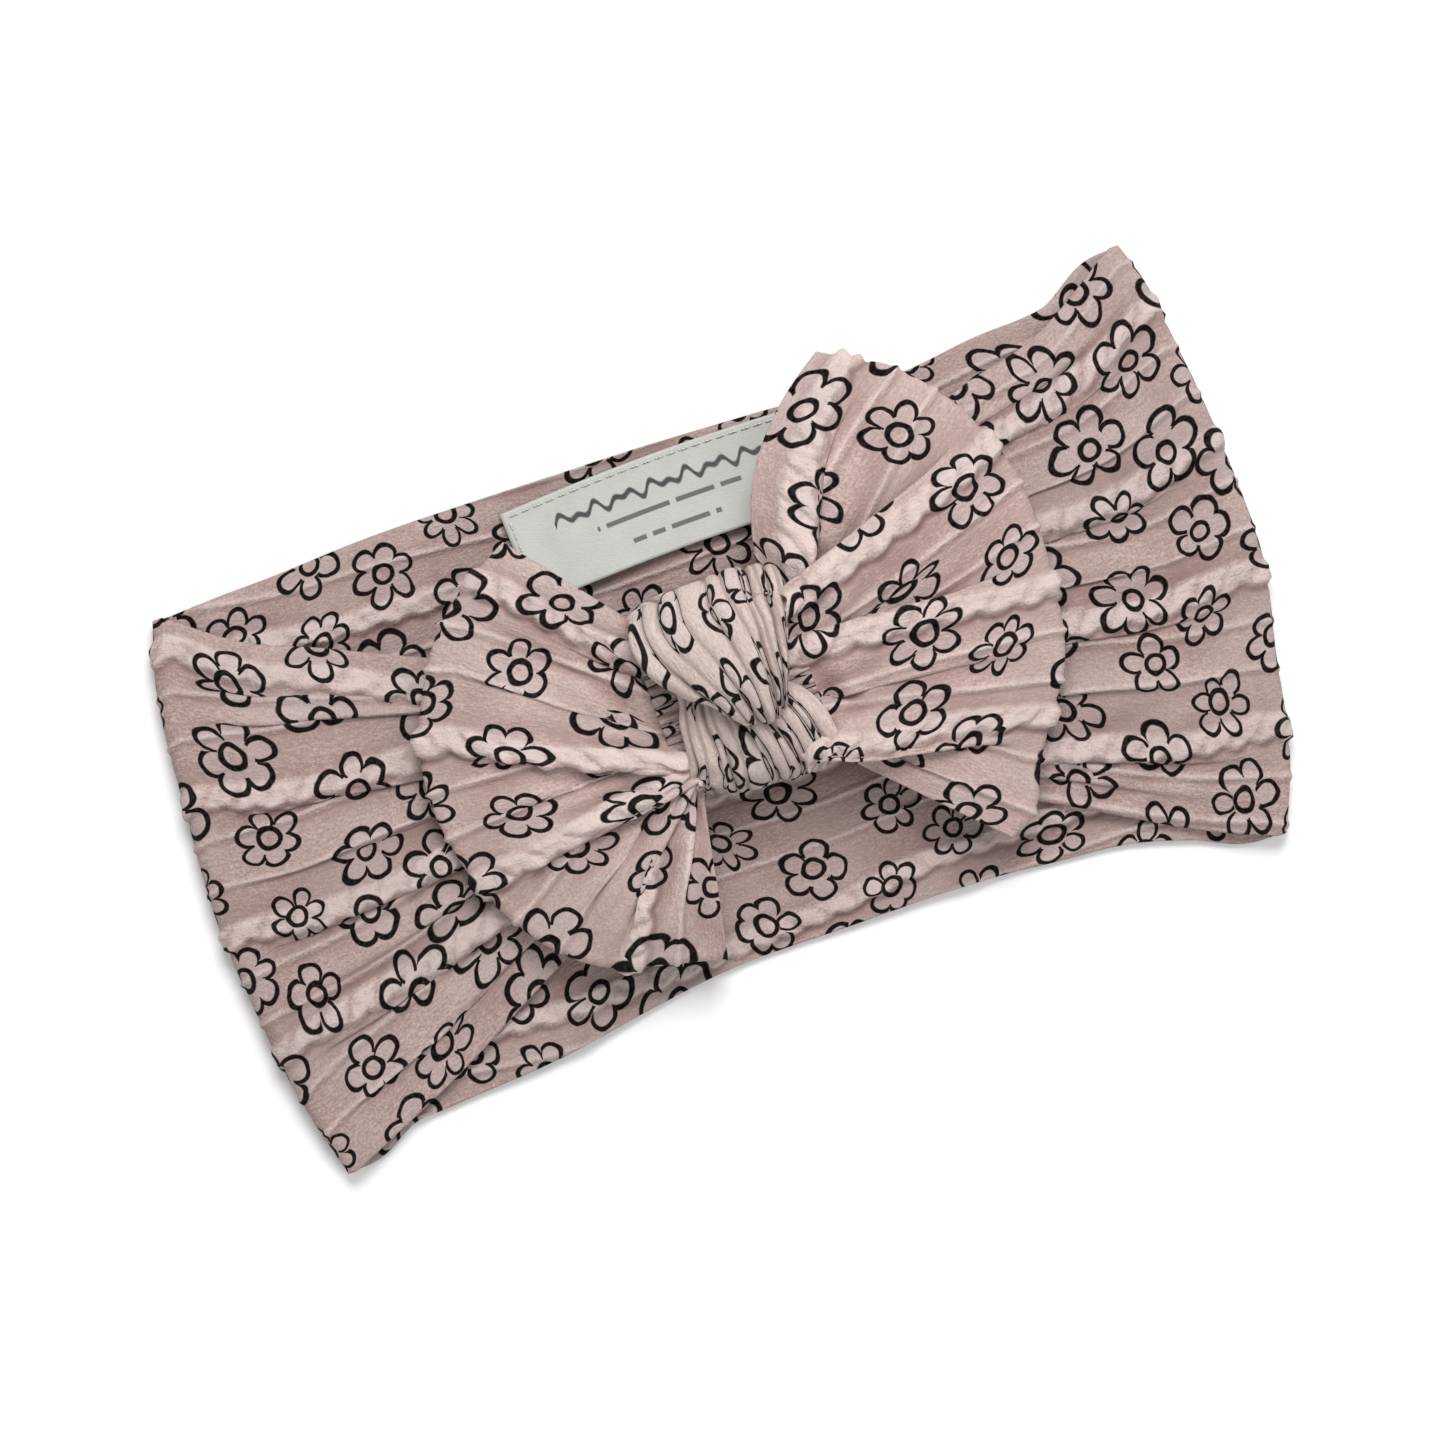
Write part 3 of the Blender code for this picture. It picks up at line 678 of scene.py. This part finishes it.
RIM_RADIUS = 1.8
LAYER_STEPS = 76
LOOPS = {
    "bow_left_cloth": {
        "side": -1,
        "rim": ((-26, 40), (-38.2, 32.6), (-45.5, 24), (-51.5, 11), (-52.2, -3), (-47.2, -19.5), (-35.5, -32.8),
                (-14.3, -39.3)),
        "neck": ((-3, 11), (-8, -8)),
        "bulge": (0.0, 0.0),
        "cables": (8.0, 36.0, 60.5, 89.0),
        "pleats": (
            (4.0, 0.04, 1, 0.9),
            (11.5, 0.05, 1, 0.8),
            (24.0, 0.1, 1, 0.45),
            (39.3, 0.22, 1, 1.0),
            (51.0, 0.07, 1, 0.6),
            (63.8, 0.21, 1, 1.05),
            (76.0, 0.08, 1, 0.6),
            (85.5, 0.15, 1, 1.0),
            (97.0, 0.08, 1, 0.7),
        ),
        "node": "bow_left_loop",
        "body": "left_loop",
    },
    "bow_right_cloth": {
        "side": 1,
        "rim": ((34.2, 52.8), (40.2, 49.2), (46.5, 45.2), (53.6, 36.5), (57.6, 28), (60, 19), (59.6, 3), (56.5, -11.5),
                (47.8, -24.5), (43.5, -33), (38.0, -36.6)),
        "neck": ((13, 15), (10, -8)),
        "bulge": (-5.5, 2.5),
        "cables": (6.0, 34.5, 60.0, 83.0),
        "pleats": (
            (9.5, 0.15, 1, 0.9),
            (31.5, 0.24, -1, 1.25),
            (45.0, 0.06, 1, 0.5),
            (57.0, 0.17, -1, 1.0),
            (70.0, 0.08, 1, 0.6),
            (87.5, 0.24, 1, 1.25),
            (98.0, 0.06, 1, 0.5),
        ),
        "node": "bow_right_loop",
        "body": "right_loop",
    },
}
UNDER_PLEATS = tuple((12.0 + 13.5 * k, 1 / 7, 1, 0.35) for k in range(7))


def loop_layer(loop, t, upper):
    """One layer of a loop. t runs from the rim, 0, to the neck, 1."""
    rim_points = np.array(loop["rim"], float)
    neck_points = np.array(loop["neck"], float)
    rim_length = np.linalg.norm(np.diff(rim_points, axis=0), axis=1).sum()
    neck_length = np.linalg.norm(neck_points[1] - neck_points[0])
    spans = mix(rim_length, neck_length, t)[:, 0]
    reached, raised = pleats(spans, loop["pleats"] if upper else UNDER_PLEATS)
    share = mix(across, soften(reached / reached[:, -1:], 1.7), smooth(t * 8))
    raised = soften(raised, 1.7) * smooth(t * 5 + 0.1)
    rim = smooth_path(loop["rim"], share)
    neck = neck_points[0] + (neck_points[1] - neck_points[0]) * share[..., None]
    spot = mix(rim, neck, np.broadcast_to(t, share.shape)[..., None])
    ahead = neck - rim
    ahead = ahead / np.linalg.norm(ahead, axis=2, keepdims=True)
    spot = spot + ahead * (RIM_RADIUS * (1 - t))[..., None]
    bulge = 4 * t * (1 - t) * smooth(1 - share / 0.22)
    spot = spot + bulge[..., None] * np.array(loop["bulge"])
    x, y = spot[..., 0], spot[..., 1]
    side = loop["side"]
    if upper:
        z = smooth_line(((0, 11.8), (0.14, 13.2), (0.45, 13.9), (0.8, 13.2), (1, 12.6)), t) + raised
        z = z + 0.55 * smooth(t * 4) * ripples(x, y, 26, 21 + side)
        fine = ripples(t * 9, across * STRIP, 5.5, 23 + side)
        z = z + 0.3 * smooth(t * 3) * fine
        z = z + 0.8 * smooth((t - 0.5) / 0.3) * ripples(t * 38, across * STRIP, 7, 31 + side)
    else:
        z = smooth_line(((0, 9.3), (0.3, 9.8), (1, 12.0)), t) + 0.4 * raised
    return np.stack([x, y, z], 2)


def make_loop(name, loop):
    under = column(np.linspace(1, 0, LAYER_STEPS))
    over = column(np.linspace(0, 1, LAYER_STEPS))
    lower, upper = loop_layer(loop, under, False), loop_layer(loop, over, True)
    turn = column(np.linspace(0, math.pi, 8))[1:-1]
    near, far = lower[-1:], upper[:1]
    inward = upper[1:2] - upper[:1]
    inward[..., 2] = 0
    inward = inward / np.linalg.norm(inward, axis=2, keepdims=True)
    lift = (1 - np.cos(turn)) / 2
    bend = near + (far - near) * lift[..., None] - inward * (RIM_RADIUS * np.sin(turn))[..., None]
    grid = np.concatenate([lower, bend, upper])
    rim = np.array(loop["rim"], float).mean(0)
    reach = np.linalg.norm(rim - np.array(loop["neck"], float).mean(0)) + 4
    rows = column(np.arange(len(grid)))
    along = rows * (2 * reach + 6) / len(grid)
    height, share = ribs(along, across * STRIP, loop["cables"])
    top = smooth((rows - LAYER_STEPS + 4) / 8)
    outer = height * mix(0.3, 1.0, top)
    inner = 0.15 * height
    # painted light and shade on the top layer: raised pleats painted paler, the valleys between them darker
    share = 0.6 * share + 0.7 * painted_relief_light(grid[..., 2] + outer) * top
    places = np.stack(np.broadcast_arrays(along, across * STRIP), 2)
    order = slice(None, None, loop["side"])
    made = cloth(name, grid[order], places[order], outer[order], inner[order], share[order], bow_knit)
    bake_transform(made)
    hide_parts(loop["node"])


# ---- The knot and the gathered necks ----


def strand(name, stations, creases, puff, finish, steps=90, sides=180, wide_axis=None, flower_shift=0.0, bow=0.0):
    """A bunched strand of cloth. A station is (X, Y, Z, half width, half thickness). Creases are
    (start, end) places across the strand, from -1 at its left side to 1 at its right, as it runs, and
    bow is how far they curve to the right between."""
    stations = np.array(stations, float)
    count = np.arange(len(stations))
    at = np.linspace(0, len(stations) - 1, steps)
    x, y, z, half_wide, half_thick = (smooth_line(np.stack([count, c], 1), at) for c in stations.T)
    middle = np.stack([x, y, z], 1)
    along = np.gradient(middle, axis=0)
    along = along / np.linalg.norm(along, axis=1, keepdims=True)
    wide = np.tile(np.array(wide_axis or (1.0, 0, 0)), (steps, 1))
    wide = wide - along * np.sum(wide * along, 1, keepdims=True)
    wide = wide / np.linalg.norm(wide, axis=1, keepdims=True)
    up = np.cross(wide, along)
    angle = np.linspace(0, TURN, sides, endpoint=False)[None, :]
    share = column(np.linspace(0, 1, steps))
    spread = np.cos(angle)
    rise = np.sign(np.sin(angle)) * np.abs(np.sin(angle)) ** 0.75
    nearest = np.full((steps, sides), 9.0)
    index = np.zeros((steps, sides))
    for k, (start, end) in enumerate(creases):
        wander = 0.03 * np.sin(share * 7 + k * 2.3)
        line = mix(start, end, share) + wander + bow * np.sin(math.pi * share) * (1 - start**2)
        gap = (spread - line) * half_wide[:, None]
        fade = 0.5 * (1 + np.sin(share * 8 + k * 2.4))
        nearest = np.minimum(nearest, np.abs(gap) + fade)
        index = index + smooth(gap / 0.7 + 0.5)
    fullness = 1 - np.exp(-nearest / 0.6)
    bulge = puff * (fullness - 0.65) + 0.4 * ripples(share * 40, angle * 9, 8, len(name))
    thick = half_thick[:, None] + bulge
    reach = half_wide[:, None] + 0.5 * bulge
    grid = middle[:, None] + wide[:, None] * (spread * reach)[..., None] + up[:, None] * (rise * thick)[..., None]
    run = column(np.concatenate([[0], np.cumsum(np.linalg.norm(np.diff(middle, axis=0), axis=1))]))
    folded = spread * half_wide[:, None] * 1.2 + index * 4.3 + 40
    places = np.stack([np.broadcast_to(run, (steps, sides)) * 0.95 + flower_shift, folded], 2)
    number = np.arange(steps * sides).reshape(steps, sides)
    ahead = np.roll(number, -1, axis=1)
    faces = quads(number[:-1], ahead[:-1], ahead[1:], number[1:])
    vertices = grid.reshape(-1, 3)
    first, last = len(vertices), len(vertices) + 1
    vertices = np.concatenate([vertices, grid[0].mean(0)[None], grid[-1].mean(0)[None]])
    start_fan = np.stack([np.full(sides, first), ahead[0], number[0]], 1)
    end_fan = np.stack([np.full(sides, last), number[-1], ahead[-1]], 1)
    fabric = np.concatenate([places.reshape(-1, 2), places[0].mean(0)[None], places[-1].mean(0)[None]])
    # painted light and shade: the strand's creases are painted darker and the puffs between them paler, through the
    # rib attribute
    pale = np.concatenate([(1.0 * fullness - 0.55).ravel(), [0, 0]])
    all_faces = faces.tolist() + start_fan.tolist() + end_fan.tolist()
    return strand_mesh(name, vertices, all_faces, fabric, pale, finish)


def strand_mesh(name, vertices, faces, fabric, share, finish):
    mesh = bpy.data.meshes.new(name)
    mesh.from_pydata((vertices * MM).tolist(), [], faces)
    corners = np.zeros(len(mesh.loops), np.int32)
    mesh.loops.foreach_get("vertex_index", corners)
    layer = mesh.uv_layers.new(name="cloth")
    layer.data.foreach_set("uv", (fabric[corners] / 100).astype(np.float32).ravel())
    # the rib attribute carries painted light: paler on the strand's puffs, darker in its creases
    rib = mesh.attributes.new("rib", "FLOAT", "POINT")
    rib.data.foreach_set("value", share.astype(np.float32))
    mesh.shade_smooth()
    mesh.materials.append(finish)
    made = bpy.data.objects.new(name, mesh)
    bpy.context.scene.collection.objects.link(made)
    return made


UPPER_RUN = (
    (2.0, 15.0, 3.2, 10.5, 0.7),
    (2.0, 17.0, 6.0, 11.5, 1.2),
    (2.2, 19.0, 11.5, 13.5, 2.2),
    (3.2, 19.2, 17.0, 12.8, 3.0),
    (2.2, 14.8, 21.6, 13.4, 3.8),
    (3.6, 9.2, 24.2, 11.4, 4.2),
    (4.8, 4.6, 24.4, 8.6, 4.4),
    (5.4, 0.9, 22.8, 6.0, 4.2),
    (5.6, -1.4, 19.0, 3.8, 3.0),
    (5.6, -0.8, 16.0, 3.0, 2.0),
)
UPPER_CREASES = (
    (-0.9, -0.84), (-0.74, -0.6), (-0.6, -0.28), (-0.2, -0.02), (-0.02, 0.3), (0.2, 0.44), (0.42, 0.56),
    (0.56, 0.66), (0.68, 0.76), (0.8, 0.86), (0.92, 0.94),
)
LOWER_RUN = (
    (2.0, -11.0, 3.2, 10.5, 0.7),
    (2.2, -12.4, 6.0, 11.2, 1.1),
    (2.4, -12.0, 11.0, 12.2, 1.8),
    (2.8, -10.0, 15.4, 13.4, 2.5),
    (2.4, -6.0, 17.6, 12.6, 2.9),
    (1.0, -0.8, 18.2, 10.2, 2.9),
    (0.2, 4.4, 18.0, 7.8, 2.6),
    (-0.6, 8.0, 16.8, 6.0, 2.2),
)
LOWER_CREASES = (
    (-0.92, -0.82), (-0.8, -0.66), (-0.66, -0.46), (-0.5, -0.3), (-0.3, -0.16), (0.06, -0.04), (0.26, 0.02),
    (0.42, 0.12), (0.56, 0.26), (0.68, 0.42), (0.8, 0.58), (0.9, 0.78),
)
BACK_RUN = (
    (2.0, 16.5, 3.6, 10.5, 0.8),
    (2.0, 9.0, 3.1, 10.8, 0.8),
    (2.0, 2.0, 3.0, 11.0, 0.8),
    (2.0, -6.0, 3.1, 10.8, 0.8),
    (2.0, -12.5, 3.6, 10.5, 0.8),
)
BACK_CREASES = ((-0.7, -0.6), (-0.4, -0.35), (-0.1, 0.05), (0.2, 0.3), (0.5, 0.55), (0.75, 0.7))
NECK_CREASES = tuple((k / 5, k / 5 + 0.03) for k in range(-4, 5))


def neck_run(node):
    """The stations of a gathered neck along X, from its CAD node's box."""
    low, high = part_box(node)
    y, z = (low.y + high.y) / 2 / MM, (low.z + high.z) / 2 / MM
    wide, thick = (high.y - low.y) / 2 / MM, (high.z - low.z) / 2 / MM
    reach = NECK_REACH if node == "band_neck" else -1.5
    places = np.linspace(low.x / MM - reach, high.x / MM + reach, 5)
    return [(x, y, z, wide - 0.6, thick - 0.4) for x in places]


def make_knot():
    made = {
        "knot_upper_cloth": strand(
            "knot_upper_cloth", UPPER_RUN, UPPER_CREASES, 1.6, knot_knit, flower_shift=3.0, bow=0.22
        ),
        "knot_lower_cloth": strand(
            "knot_lower_cloth", LOWER_RUN, LOWER_CREASES, 1.3, knot_knit, wide_axis=(1, -0.12, 0), flower_shift=50.0
        ),
        "knot_back_cloth": strand("knot_back_cloth", BACK_RUN, BACK_CREASES, 0.35, knot_knit, steps=40),
    }
    for piece, node in (("band_neck_cloth", "band_neck"), ("bow_neck_cloth", "bow_neck")):
        made[piece] = strand(piece, neck_run(node), NECK_CREASES, 0.7, band_knit, 30, 120, (0, 1.0, 0))
    nodes = {
        "knot_upper_cloth": "knot_upper_strand",
        "knot_lower_cloth": "knot_lower_strand",
        "knot_back_cloth": "knot_back_wrap",
        "band_neck_cloth": "band_neck",
        "bow_neck_cloth": "bow_neck",
    }
    for name, piece in made.items():
        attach(piece, "front_knot")
        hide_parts(nodes[name])
    for node in ("band_neck_thread", "bow_neck_thread", "knot_closing_stitches"):
        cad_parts[node].data.materials.clear()
        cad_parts[node].data.materials.append(pink_thread)


# ---- The care label ----


def label_height(x_share, y_share):
    """How far the label stands off the back panel. Its lower edge and left end curl up."""
    curl = 1.5 * y_share**2 + 1.2 * smooth(1 - x_share / 0.12) * y_share
    return 2.5 + curl + 0.25 * np.sin(x_share * 9 + 1) * y_share


def label_spot(x_share, y_share, low, high):
    x = mix(low.x / MM, high.x / MM, x_share) - 0.8 * (1 - x_share) * (1 - y_share) + 0.5
    arch = 0.9 * np.sin(math.pi * x_share)
    y = mix(high.y / MM, low.y / MM, y_share) + arch - 0.8
    return x, y, label_height(x_share, y_share)


def make_label():
    low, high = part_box("care_label")
    width, depth = (high.x - low.x) / MM, (high.y - low.y) / MM
    x_share, y_share = column(np.linspace(0, 1, 90)), np.linspace(0, 1, 36)[None, :]
    x, y, z = label_spot(x_share, y_share, low, high)
    grid = np.stack(np.broadcast_arrays(x, y, z), 2)
    places = np.stack(np.broadcast_arrays(x_share * width, y_share * depth), 2)
    weave = 0.03 * np.sin(TURN * x_share * width / 1.4) * np.sin(TURN * y_share * depth / 1.4)
    flat = np.zeros(grid.shape[:2])
    label = cloth(
        "care_label_tape", grid[::-1], places[::-1], flat + weave[::-1], flat, flat, label_satin, 0.25
    )
    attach(label, "band_back")
    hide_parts("care_label")

    rows = {
        "label_top_stitches": ("label_top_stitching", (0.02, 0.06), (0.98, 0.06), 24),
        "label_left_stitches": ("label_left_stitching", (0.02, 0.1), (0.02, 0.92), 7),
        "label_right_stitches": ("label_right_stitching", (0.98, 0.1), (0.98, 0.92), 7),
    }
    for name, (node, start, end, count) in rows.items():
        curve = bpy.data.curves.new(name, "CURVE")
        curve.dimensions = "3D"
        curve.bevel_depth = 0.16 * MM
        curve.bevel_resolution = 2
        curve.use_fill_caps = True
        for k in range(count):
            spline = curve.splines.new("POLY")
            spline.points.add(4)
            for m, point in enumerate(spline.points):
                share = (k + 0.12 + 0.76 * m / 4) / count
                sx, sy = mix(start[0], end[0], share), mix(start[1], end[1], share)
                px, py, pz = label_spot(sx, sy, low, high)
                bow = 0.22 * math.sin(math.pi * m / 4)
                point.co = (px * MM, py * MM, (float(pz) + 0.1 + bow) * MM, 1)
        curve.materials.append(pale_thread)
        row = bpy.data.objects.new(name, curve)
        bpy.context.scene.collection.objects.link(row)
        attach(row, "band_back")
        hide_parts(node)


# ---- The studio ----

FRAME_WIDTH = 0.2467
CAMERA_OVER = (-0.0015, -0.00145)
CAMERA_TURN = math.radians(-20)
CAMERA_HEIGHT = 0.9
FOCUS_LEVEL = 0.008


def make_floor():
    n = Nodes("paper")
    place = n.add("ShaderNodeTexCoord").outputs["Object"]
    tone = n.noise(place, 60.0, 3.0)["Fac"]
    n.feed(n.shader.inputs["Base Color"], n.blend(tone, (0.93, 0.93, 0.93, 1), (0.96, 0.96, 0.96, 1)))
    n.shader.inputs["Roughness"].default_value = 0.9
    mesh = bpy.data.meshes.new("floor")
    corners = [(-3, -3, 0), (3, -3, 0), (3, 3, 0), (-3, 3, 0)]
    mesh.from_pydata(corners, [], [(0, 1, 2, 3)])
    mesh.materials.append(n.material)
    floor = bpy.data.objects.new("floor", mesh)
    bpy.context.scene.collection.objects.link(floor)


def area_light(name, place, size, power):
    light = bpy.data.lights.new(name, "AREA")
    light.energy = power
    light.size = size
    made = bpy.data.objects.new(name, light)
    made.location = place
    made.rotation_euler = (-made.location).to_track_quat("-Z", "Y").to_euler()
    bpy.context.scene.collection.objects.link(made)


def make_studio():
    scene = bpy.context.scene
    make_floor()
    area_light("key", (0.2, 0.54, 0.78), 0.5, 8.0)
    area_light("fill", (0.4, -0.5, 0.8), 1.0, 3.0)
    world = bpy.data.worlds.new("studio")
    world.use_nodes = True
    sky = world.node_tree.nodes["Background"]
    sky.inputs["Color"].default_value = (1, 1, 1, 1)
    sky.inputs["Strength"].default_value = 0.5
    scene.world = world
    scene.view_settings.view_transform = "Standard"
    camera = bpy.data.cameras.new("camera")
    camera.sensor_width = 36
    camera.lens = 36 * (CAMERA_HEIGHT - FOCUS_LEVEL) / FRAME_WIDTH
    camera.clip_start = 0.01
    made = bpy.data.objects.new("camera", camera)
    made.location = (*CAMERA_OVER, CAMERA_HEIGHT)
    made.rotation_euler = (0, 0, CAMERA_TURN)
    scene.collection.objects.link(made)
    scene.camera = made


make_studio()
make_band()
for loop_name, loop_shape in LOOPS.items():
    make_loop(loop_name, loop_shape)
make_knot()
make_label()
